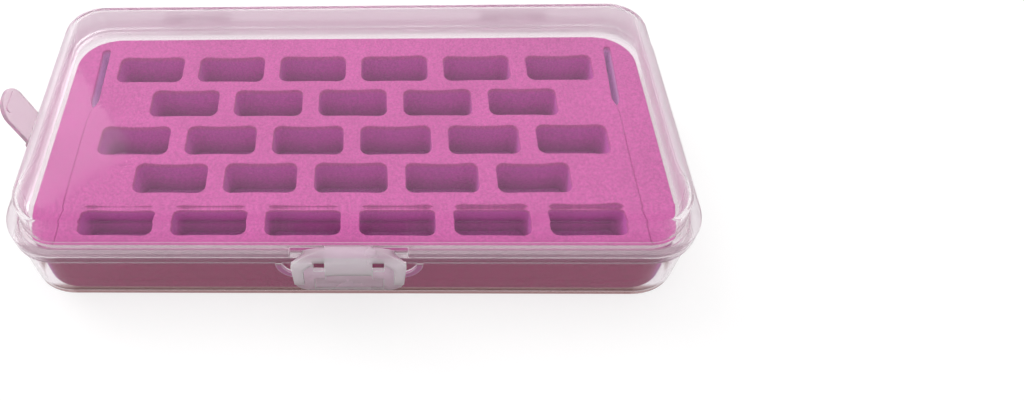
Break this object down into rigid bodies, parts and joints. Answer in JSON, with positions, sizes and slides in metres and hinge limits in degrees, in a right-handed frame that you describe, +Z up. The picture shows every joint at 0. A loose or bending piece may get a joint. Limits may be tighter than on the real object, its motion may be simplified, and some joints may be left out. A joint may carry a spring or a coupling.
{
  "type": "bobbin storage box",
  "caption": "Clear hinged plastic case with a front snap latch, an end hanging tab and a slotted foam insert for sewing machine bobbins.",
  "frame": {"origin": "under the middle of the rim, on the surface that the case rests on", "axes": "+X along the length, away from the hanging tab; +Y towards the hinges; +Z up"},
  "size_m": [0.1847, 0.0962, 0.0325],
  "materials": {
    "clear_plastic": "clear, slightly milky",
    "pin_plastic": "milky",
    "pink_foam": "matte closed-cell foam"
  },
  "bodies": {
    "base": {"base_tray": "clear_plastic", "hinge_pin_left": "pin_plastic", "hinge_pin_right": "pin_plastic", "foam_block": "pink_foam", "foam_floor": "pink_foam"},
    "lid": {"lid": "clear_plastic"},
    "latch": {"front_latch": "clear_plastic"},
    "tab": {"hang_tab": "clear_plastic"}
  },
  "joints": [
    {"name": "lid_hinge", "type": "hinge", "parent": "base", "child": "lid", "pos_m": [0, 0.0461, 0.01955], "axis": [-1, 0, 0], "range_deg": [0, 180]},
    {"name": "latch_hinge", "type": "hinge", "parent": "lid", "child": "latch", "pos_m": [0, -0.0452, 0.0215], "axis": [-1, 0, 0], "range_deg": [0, 90]},
    {"name": "hang_tab_hinge", "type": "hinge", "parent": "base", "child": "tab", "pos_m": [-0.0905, 0, 0.0182], "axis": [0, 1, 0], "range_deg": [-164, 16]}
  ]
}
